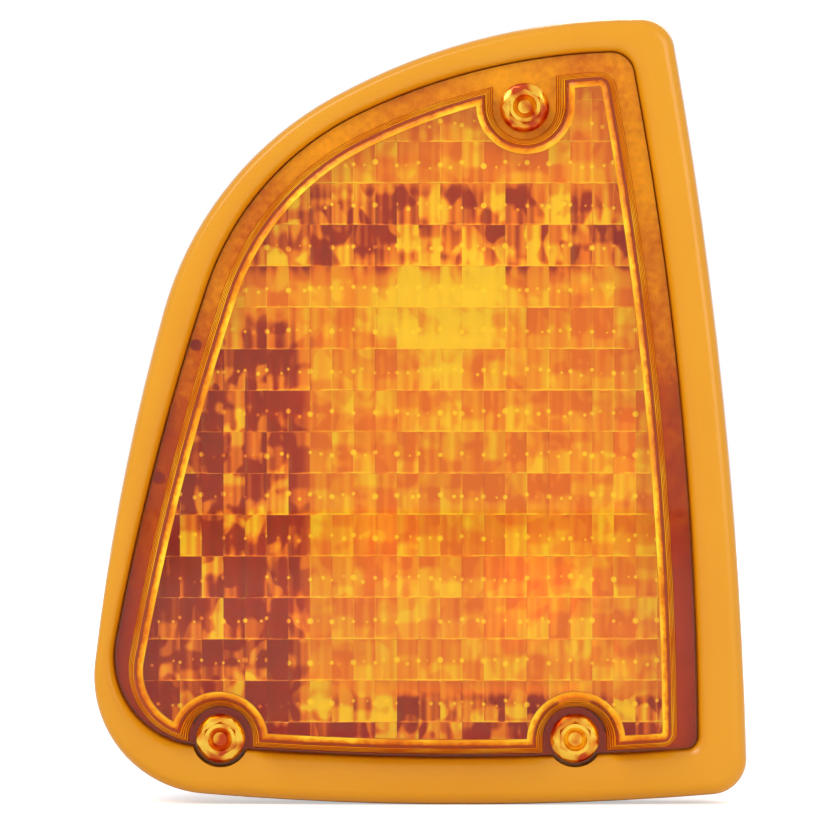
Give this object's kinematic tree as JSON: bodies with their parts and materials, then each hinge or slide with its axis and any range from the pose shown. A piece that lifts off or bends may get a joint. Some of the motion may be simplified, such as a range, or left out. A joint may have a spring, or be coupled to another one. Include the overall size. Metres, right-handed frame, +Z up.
{
  "type": "vehicle indicator lamp",
  "caption": "Front indicator lamp: clear amber lens with rows of pillow optics in a raised glossy bezel, over a reflector, bayonet bulb and twist-lock socket in a moulded bowl.",
  "frame": {"origin": "on the panel face that the mounting gasket seals against, at the middle of the bowl's cut-out", "axes": "+Z up, +Y back into the vehicle, so the lens faces -Y, and +X to the right as seen from the front"},
  "size_m": [0.1363, 0.087, 0.1642],
  "materials": {
    "trim": "glossy amber moulding",
    "lens": "clear amber moulding",
    "seal": "matt dark red rubber",
    "plated_screw": "yellow zinc plate",
    "brass": "plain brass",
    "housing": "fine-textured dark red moulding",
    "reflector": "metallised moulding with an amber lacquer",
    "bulb_glass": "clear glass",
    "bulb_wire": "drawn wire",
    "insulator": "moulded insulator",
    "socket": "fine-textured moulding"
  },
  "bodies": {
    "root": {"bezel": "trim", "lens": "lens", "lens_gasket": "seal", "lens_screws": "plated_screw", "screw_inserts": "brass", "housing": "housing", "mounting_gasket": "seal", "mounting_studs": "plated_screw", "reflector": "reflector", "reflector_screws": "plated_screw", "vent_cap": "seal", "bulb_glass": "bulb_glass", "bulb_stem": "bulb_glass", "bulb_lead_wires": "bulb_wire", "bulb_filaments": "bulb_wire", "bulb_cap": "brass", "bulb_insulator": "insulator", "bulb_contacts": "bulb_wire", "socket_body": "socket", "socket_seal": "seal", "socket_sleeve": "brass", "contact_carrier": "insulator", "signal_terminal": "brass", "marker_terminal": "brass", "ground_terminal": "brass"}
  },
  "joints": []
}
